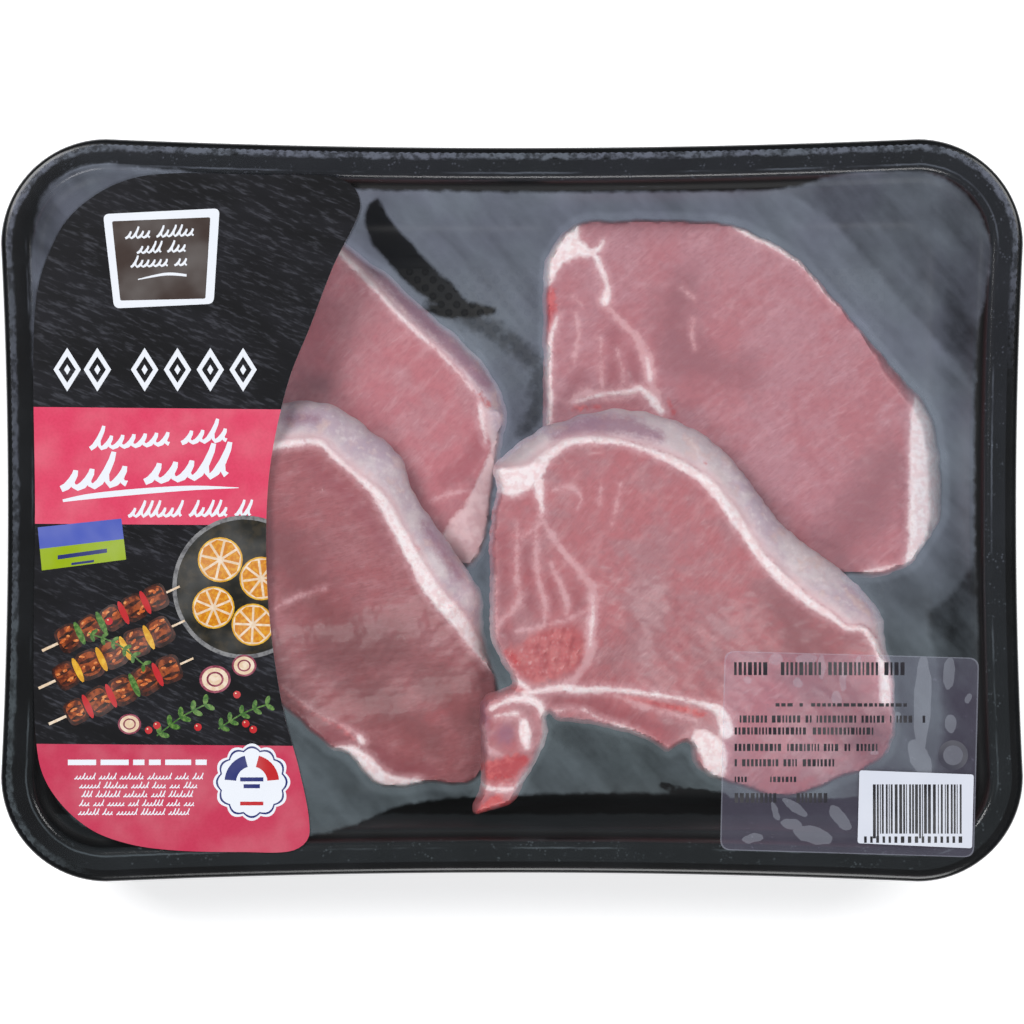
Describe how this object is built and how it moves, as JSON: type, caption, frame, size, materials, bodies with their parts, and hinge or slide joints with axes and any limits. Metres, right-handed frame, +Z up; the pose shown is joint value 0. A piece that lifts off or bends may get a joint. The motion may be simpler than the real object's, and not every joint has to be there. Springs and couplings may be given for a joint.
{
  "type": "meat tray pack",
  "caption": "Sealed rectangular plastic tray of raw bone-in pork chops under clear film, with a waisted printed label at one end and a clear price label at a corner.",
  "frame": {"origin": "middle of the tray's underside", "axes": "+X along the tray to the end with the clear label, +Y across it, +Z up through the film"},
  "size_m": [0.3, 0.218, 0.0421],
  "materials": {
    "tray": "black thermoformed plastic, glossy",
    "pad": "dark dotted absorbent pad",
    "lean_meat": "moist pink muscle with a fine grain",
    "fat": "soft white fat, pink at its edges",
    "bone": "red spongy sawn bone with white gristle",
    "film": "clear sealed film, fogged inside",
    "printed_label": "printed film label, slate and pink",
    "clear_label": "clear adhesive label, slightly violet",
    "barcode_label": "white label with dark bars"
  },
  "bodies": {
    "root": {"tray": "tray", "absorbent_pad": "pad", "back_left_lean": "lean_meat", "front_left_lean": "lean_meat", "back_right_eye": "lean_meat", "back_right_side_muscle": "lean_meat", "front_right_eye": "lean_meat", "front_right_side_muscle": "lean_meat", "front_right_belly": "lean_meat", "back_left_fat": "fat", "front_left_fat": "fat", "front_left_tail_fat": "fat", "back_right_fat": "fat", "back_right_corner_fat": "fat", "front_right_fat": "fat", "front_right_tail_fat": "fat", "front_left_belly": "bone", "back_right_vertebra": "bone", "front_right_vertebra": "bone", "front_right_spine_tip": "bone", "front_right_rib": "bone", "top_film": "film", "printed_label": "printed_label", "clear_label": "clear_label", "barcode_label": "barcode_label"}
  },
  "joints": []
}
